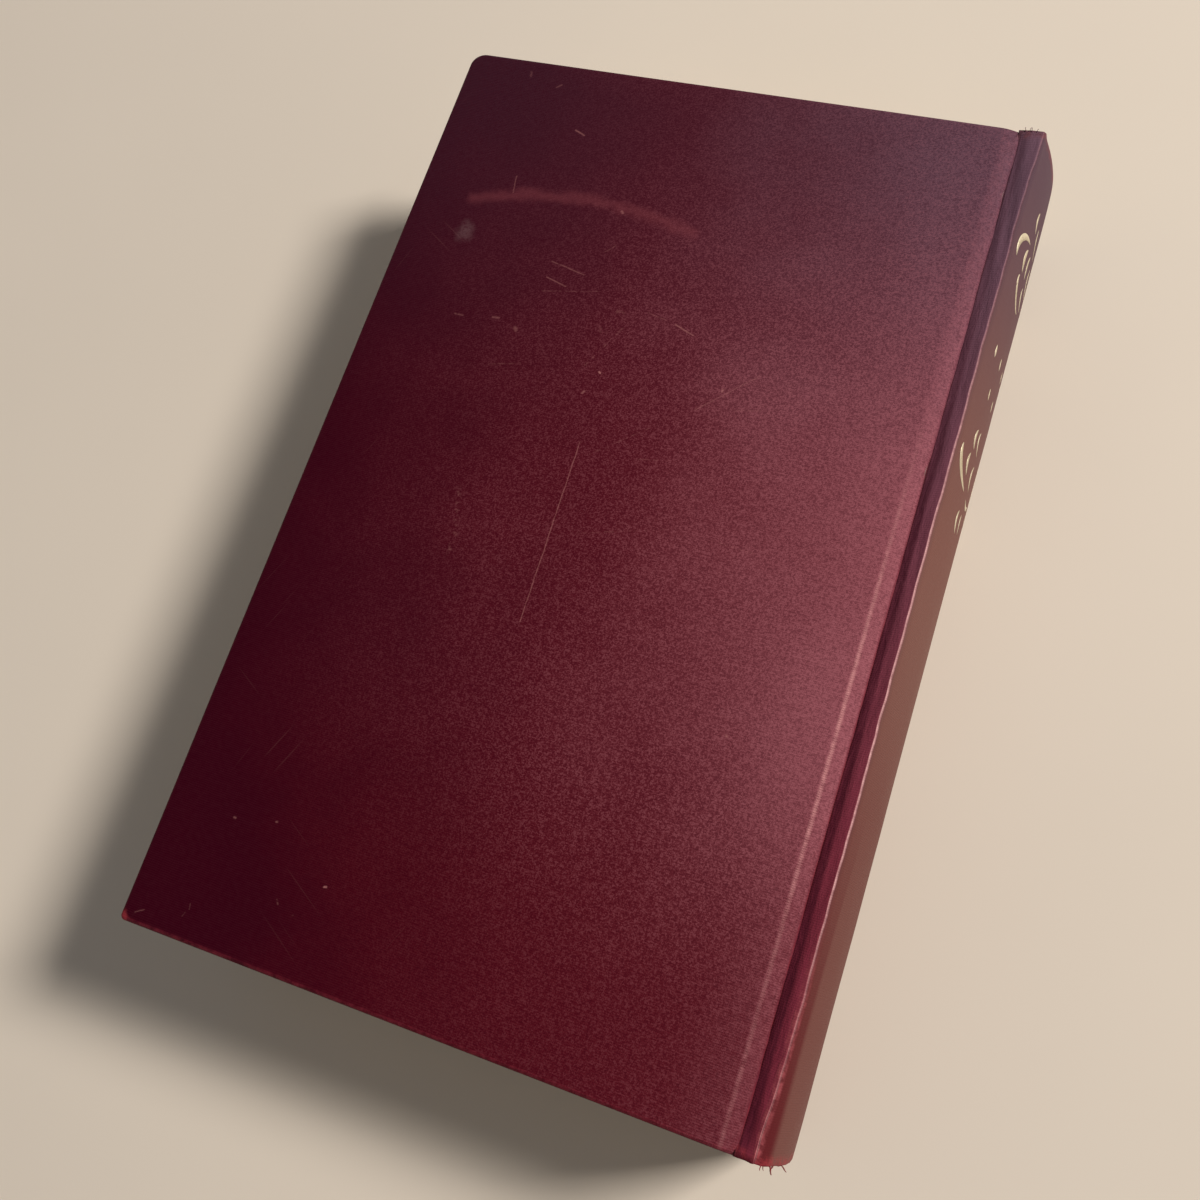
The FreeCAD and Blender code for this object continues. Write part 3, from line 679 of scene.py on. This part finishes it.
coverCloth("backCoverCloth", False, clothMarked)
coverCloth("frontCoverCloth", True, clothPlain)
print("cover cloth made")

# spine

spine = {"wall": 0.0009, "roundSteps": 44, "ridgeSteps": 8, "rim": 0.00025, "endFrom": 0.098, "endRun": 0.010,
         "endIn": 0.00012, "arcPerHeight": 1.03}


def spineCloth():
    bm = bmesh.new()
    lean = math.degrees(math.atan2(book["ridgeZ"] - book["middle"], book["ridgeX"] - book["backCentre"]))
    row = edgeRow(bm, (book["ridgeX"], -book["head"], book["thick"]), (book["ridgeX"], book["head"], book["thick"]),
                  groove["cuts"])
    row = turn(bm, row, (book["ridgeX"], 0, book["ridgeZ"]), 90 - lean, spine["ridgeSteps"])
    row = turn(bm, row, (book["backCentre"], 0, book["middle"]), 2 * lean, spine["roundSteps"])
    turn(bm, row, (book["ridgeX"], 0, book["ridgeRound"]), 90 - lean, spine["ridgeSteps"])
    facing(bm, (1, 0, 0))
    bmesh.ops.solidify(bm, geom=bm.faces[:], thickness=spine["wall"])
    ends = [e for e in bm.edges if all(abs(abs(v.co.y) - book["head"]) < same for v in e.verts)]
    bevel(bm, [e for e in ends if len(e.link_faces) == 2 and e.calc_face_angle(0) > 1], spine["rim"], 2)
    layCloth(bm, lambda co: co.z * spine["arcPerHeight"], lambda co: co.y)
    for vert in bm.verts:
        end = max(0.0, (abs(vert.co.y) - spine["endFrom"]) / spine["endRun"])
        shift = pulled(vert.co)
        away = clamped((vert.co.x - book["ridgeX"]) / 0.0015)
        inward = (spine["endIn"] * end ** 2 + bulge(vert.co.y, vert.co.z)) * away
        vert.co += Vector((shift.x - inward, wornTail(vert.co), shift.z))
    piece = finishPiece("spineCloth", bm, [clothPlain])
    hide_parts("spine_cloth")
    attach(piece, "book_block")


spineCloth()
print("spine made")

# gilding: tapering strokes, out from the middle line and down from the head, in millimetres

gilt = {"lift": 0.00003, "film": 0.00003, "boldness": 1.2, "steps": 14,
        "strokes": [([(11.6, 12.8), (12.1, 15.2), (11.0, 17.6)], 1.0), ([(8.2, 14.6), (7.8, 18.0), (5.4, 21.0)], 0.8),
                    ([(19.6, 29.2), (19.7, 25.8), (17.4, 23.0), (13.0, 21.8)], 1.3),
                    ([(13.2, 23.4), (14.2, 26.0), (13.6, 29.2)], 1.3), ([(9.6, 22.6), (10.4, 25.4), (10.0, 28.6)], 0.9),
                    ([(14.6, 30.6), (14.9, 32.6), (12.6, 35.6), (8.6, 36.4)], 1.0),
                    ([(8.8, 30.0), (8.6, 32.4), (6.2, 34.4)], 0.9), ([(5.4, 23.0), (5.8, 26.6), (3.6, 29.8)], 0.9),
                    ([(16.8, 49.0), (16.7, 50.4), (16.6, 51.8)], 0.7), ([(11.2, 49.0), (11.1, 50.4), (11.0, 51.8)], 0.7),
                    ([(5.6, 49.0), (5.55, 50.4), (5.5, 51.8)], 0.7), ([(13.6, 57.6), (13.5, 58.9), (13.4, 60.2)], 0.6),
                    ([(8.2, 57.6), (8.1, 58.9), (8.0, 60.2)], 0.6), ([(14.2, 67.6), (14.9, 69.8), (14.0, 72.0)], 0.9),
                    ([(11.6, 67.0), (12.0, 69.4), (10.4, 72.0)], 0.7),
                    ([(20.3, 73.8), (19.9, 76.4), (17.6, 79.2), (13.2, 81.2)], 1.2),
                    ([(15.2, 73.4), (15.7, 75.8), (14.6, 78.2)], 0.9), ([(9.8, 74.0), (10.6, 76.8), (9.2, 79.6)], 0.8),
                    ([(9.4, 81.4), (6.6, 82.2), (4.2, 80.8)], 0.8), ([(12.4, 85.2), (12.9, 87.6), (11.6, 90.0)], 0.9),
                    ([(9.2, 84.8), (9.4, 86.8), (8.6, 89.0)], 0.6)],
        "middle": [([(0.0, 17.0), (0.0, 24.0), (0.0, 32.0)], 1.6), ([(0.0, 48.8), (0.0, 50.4), (0.0, 52.0)], 0.8),
                   ([(0.0, 69.0), (0.0, 76.0), (0.0, 84.0)], 1.5)]}


# point on a smooth line through three or four points
def alongLine(points, share):
    total = Vector((0, 0))
    for i, spot in enumerate(points):
        weight = 1.0
        for j in range(len(points)):
            if j != i:
                weight *= (share * (len(points) - 1) - j) / (i - j)
        total += Vector(spot) * weight
    return total


def stroke(bm, points, width, mirror):
    radius = book["backRound"] + gilt["lift"]
    strip = bmesh.ops.create_grid(bm, x_segments=gilt["steps"], y_segments=2, size=1)["verts"]
    for vert in strip:  # a flat strip bent along the line, tapered at both ends
        share = (vert.co.x + 1) / 2
        spot = alongLine(points, share)
        ahead = alongLine(points, min(1, share + 0.01)) - alongLine(points, max(0, share - 0.01))
        taper = 0.1 + 0.9 * math.sin(math.pi * share) ** 0.8
        side = Vector((-ahead.y, ahead.x)).normalized() * vert.co.y * width * gilt["boldness"] / 2 * taper
        out, down = (spot.x + side.x) / 1000 * mirror, (spot.y + side.y) / 1000
        y, z = book["head"] - down, book["middle"] + out
        vert.co = (book["backCentre"] + math.sqrt(radius ** 2 - out ** 2) - bulge(y, z), y, z)


def gilding():
    bm = bmesh.new()
    for points, width in gilt["strokes"]:
        stroke(bm, points, width, 1)
        stroke(bm, points, width, -1)
    for points, width in gilt["middle"]:
        stroke(bm, points, width, 1)
    for face in bm.faces:
        if face.normal.x < 0:
            face.normal_flip()
    bm.normal_update()
    bmesh.ops.solidify(bm, geom=bm.faces[:], thickness=gilt["film"])
    piece = finishPiece("spineGilding", bm, [giltFoil])
    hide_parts("spine_gilding")
    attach(piece, "book_block")


gilding()
print("gilding made")

# leaves

leaves = {"foreEdge": -0.06715, "hollow": 0.0038, "low": 0.0037, "high": 0.0403, "levels": 72, "foot": 0.06293,
          "shoulderHalf": 0.0202, "back": 0.0678, "shoulderX": 0.06401, "half": 0.105, "gathering": 3,
          "stagger": 0.00016, "foreStrip": 0.008}


def leafBlock():
    rng = random.Random(7)
    bm = bmesh.new()
    fore, low, high, foot, back = (leaves[key] for key in ("foreEdge", "low", "high", "foot", "back"))
    row = edgeRow(bm, (fore, -leaves["half"], low), (fore, -leaves["half"], high), leaves["levels"] - 1)
    first = list({v for e in row for v in e.verts})
    row = carry(bm, row, (leaves["foreStrip"], 0, 0), 1)
    row = carry(bm, row, ((foot - fore - leaves["foreStrip"]) / 4, 0, 0), 4)
    row = carry(bm, row, (back - foot, 0, 0), 1)
    last = list({v for e in row for v in e.verts})
    half = (high - low) / 2
    backRound = back - leaves["shoulderX"]
    radius = (leaves["shoulderHalf"] ** 2 + backRound ** 2) / (2 * backRound)
    hollowRadius = (half ** 2 + leaves["hollow"] ** 2) / (2 * leaves["hollow"])
    for vert in first:
        rise = vert.co.z - book["middle"]
        vert.co.x += leaves["hollow"] - hollowRadius + math.sqrt(hollowRadius ** 2 - rise ** 2)
    for vert in last:
        rise = (vert.co.z - book["middle"]) / half * leaves["shoulderHalf"]
        vert.co = (back - radius + math.sqrt(radius ** 2 - rise ** 2), vert.co.y, book["middle"] + rise)
    made = bmesh.ops.extrude_face_region(bm, geom=bm.faces[:])
    bmesh.ops.translate(bm, verts=[v for v in made["geom"] if isVert(v)], vec=(0, 2 * leaves["half"], 0))
    bmesh.ops.recalc_face_normals(bm, faces=bm.faces[:])
    jog = [(rng.uniform(-1, 1), rng.uniform(-1, 1), rng.uniform(-1, 1)) for _ in range(leaves["levels"])]
    for vert in bm.verts:  # gatherings don't line up exactly
        level = round((vert.co.z - low) / (2 * half) * leaves["levels"])
        if vert.co.x < foot + 0.0001 and 0 < level < leaves["levels"]:
            shift = jog[level // leaves["gathering"]]
            if vert.co.x < -0.06:
                vert.co.x += shift[0] * leaves["stagger"]
            shorter = abs(shift[1 if vert.co.y > 0 else 2]) * leaves["stagger"]
            vert.co.y -= math.copysign(shorter, vert.co.y)
    piece = finishPiece("leafBlock", bm, [leafEdges], smooth=False)
    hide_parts("text_block")
    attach(piece, "book_block")


leafBlock()
print("leaves made")

# loose threads at both ends of the spine: root, lean, thickness

fray = {"steps": 6, "taper": 0.92, "curl": 0.00005,
        "threads": [((0.0651, -0.1077, 0.0432), (0.0001, -0.0009, 0.0003), 0.00012),
                    ((0.0654, -0.1077, 0.0428), (0.0004, -0.0008, 0.0001), 0.00012),
                    ((0.0666, -0.1077, 0.0404), (0.0006, -0.0013, 0.0004), 0.00022),
                    ((0.0671, -0.1077, 0.0393), (-0.0003, -0.0009, 0.0002), 0.0002),
                    ((0.0685, -0.1077, 0.0352), (0.0010, -0.0007, 0.0006), 0.00024),
                    ((0.0615, 0.1077, 0.0436), (-0.0002, 0.0007, 0.0005), 0.00009),
                    ((0.0622, 0.1077, 0.0437), (0.0003, 0.0008, 0.0004), 0.00009),
                    ((0.0628, 0.1077, 0.0438), (-0.0001, 0.0006, 0.0005), 0.00009),
                    ((0.0638, 0.1077, 0.0439), (0.0002, 0.0005, 0.0004), 0.00009)]}


def looseThreads():
    bm = bmesh.new()
    for root, lean, thickness in fray["threads"]:
        ring = bmesh.ops.create_circle(bm, cap_ends=True, radius=thickness, segments=6)["verts"]
        bmesh.ops.rotate(bm, verts=ring, cent=(0, 0, 0), matrix=Matrix.Rotation(math.pi / 2, 3, "X"))
        bmesh.ops.translate(bm, verts=ring, vec=root)
        face = next(f for f in bm.faces if all(v in ring for v in f.verts))
        for i in range(1, fray["steps"] + 1):
            face = bmesh.ops.extrude_discrete_faces(bm, faces=[face])["faces"][0]
            curl = Vector((math.sin(i * 1.3) * fray["curl"], 0, math.cos(i * 1.1) * fray["curl"]))
            bmesh.ops.translate(bm, verts=face.verts, vec=Vector(lean) / fray["steps"] + curl)
            bmesh.ops.scale(bm, verts=face.verts, vec=[fray["taper"]] * 3,
                            space=Matrix.Translation(-face.calc_center_median()))
    bmesh.ops.holes_fill(bm, edges=[e for e in bm.edges if len(e.link_faces) == 1], sides=6)
    bmesh.ops.recalc_face_normals(bm, faces=bm.faces[:])
    layCloth(bm, lambda co: co.x, lambda co: co.y)
    piece = finishPiece("looseThreads", bm, [clothPlain])
    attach(piece, "book_block")


looseThreads()
print("threads made")

# finishes of the carried-over nodes

nodeFinishes = {"front_flyleaf": endpaper, "back_flyleaf": endpaper, "front_pastedown": endpaper,
                "back_pastedown": endpaper, "spine_mull": mullGauze, "front_mull_flange": mullGauze,
                "back_mull_flange": mullGauze, "spine_lining": kraft, "head_band": headbandCloth,
                "tail_band": headbandCloth, "front_board": greyboard, "back_board": greyboard, "spine_inlay": inlayCard}
for node, material in nodeFinishes.items():
    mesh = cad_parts[node].data
    mesh.materials.clear()
    mesh.materials.append(material)
print("nodes finished")

# floor, light, camera

room = {"floor": colour(218, 204, 187), "floorHalf": 3, "floorShade": 0.97, "keyTowards": (0.650, 0.397, 0.647),
        "keyDistance": 2.4, "keySize": 0.53, "keyPower": 68.0, "keyColour": (1.0, 0.975, 0.94),
        "skyColour": (0.93, 0.95, 1.0, 1), "skySeen": 0.95, "fill": 0.19, "centre": (0.0, 0.0, 0.03)}


def addFloor():
    bm = bmesh.new()
    bmesh.ops.create_grid(bm, x_segments=8, y_segments=8, size=room["floorHalf"])
    material, tree, shader = newMaterial("paleFloor", 0.9)
    tone = useGroup(tree, toneAndGrain, {"Place": objectPlace(tree), "Cloud Scale": 6.0, "Grain Scale": 900.0})
    shaded = tuple(room["floorShade"] * c for c in room["floor"][:3]) + (1,)
    tree.links.new(mixColour(tree, tone.outputs["Cloud"], room["floor"], shaded), shader.inputs["Base Color"])
    finishPiece("floor", bm, [material])


# one window, and a pale sky that the camera and mirror rays see brighter than it lights
def addLight():
    towards = Vector(room["keyTowards"]).normalized()
    lamp = bpy.data.lights.new("keyWindow", "AREA")
    lamp.shape, lamp.size, lamp.size_y = "RECTANGLE", room["keySize"], room["keySize"]
    lamp.energy, lamp.color = room["keyPower"], room["keyColour"]
    holder = bpy.data.objects.new("keyWindow", lamp)
    stand = Matrix.Translation(Vector(room["centre"]) + towards * room["keyDistance"])
    holder.matrix_world = stand @ towards.to_track_quat("Z", "Y").to_matrix().to_4x4()
    bpy.context.scene.collection.objects.link(holder)
    world = bpy.data.worlds.new("room")
    bpy.context.scene.world = world
    world.use_nodes = True
    tree = world.node_tree
    rays = put(tree, "LightPath").outputs
    seen = maths(tree, "MAXIMUM", rays["Is Camera Ray"], rays["Is Glossy Ray"])
    seen = maths(tree, "MAXIMUM", seen, rays["Is Transmission Ray"])
    strength = put(tree, "MapRange", {"Value": seen, "To Min": room["fill"], "To Max": room["skySeen"]})
    sky = tree.nodes["Background"]
    sky.inputs["Color"].default_value = room["skyColour"]
    tree.links.new(strength.outputs["Result"], sky.inputs["Strength"])


view = {"lens": 36.18, "sensor": 36.0, "place": (0.070917, -0.074105, 0.274423),
        "right": (0.93079, 0.31252, -0.18965), "up": (-0.24874, 0.92161, 0.29792), "ahead": (-0.26789, 0.23012, -0.93556)}


def addCamera():
    lens = bpy.data.cameras.new("camera")
    lens.lens, lens.sensor_width, lens.clip_start = view["lens"], view["sensor"], 0.01
    eye = bpy.data.objects.new("camera", lens)
    turned = Matrix((view["right"], view["up"], -Vector(view["ahead"]))).transposed().to_4x4()
    eye.matrix_world = Matrix.Translation(view["place"]) @ turned
    bpy.context.scene.collection.objects.link(eye)
    bpy.context.scene.camera = eye


addFloor()
addLight()
addCamera()
bpy.context.scene.view_settings.view_transform = "Standard"
print("room lit")
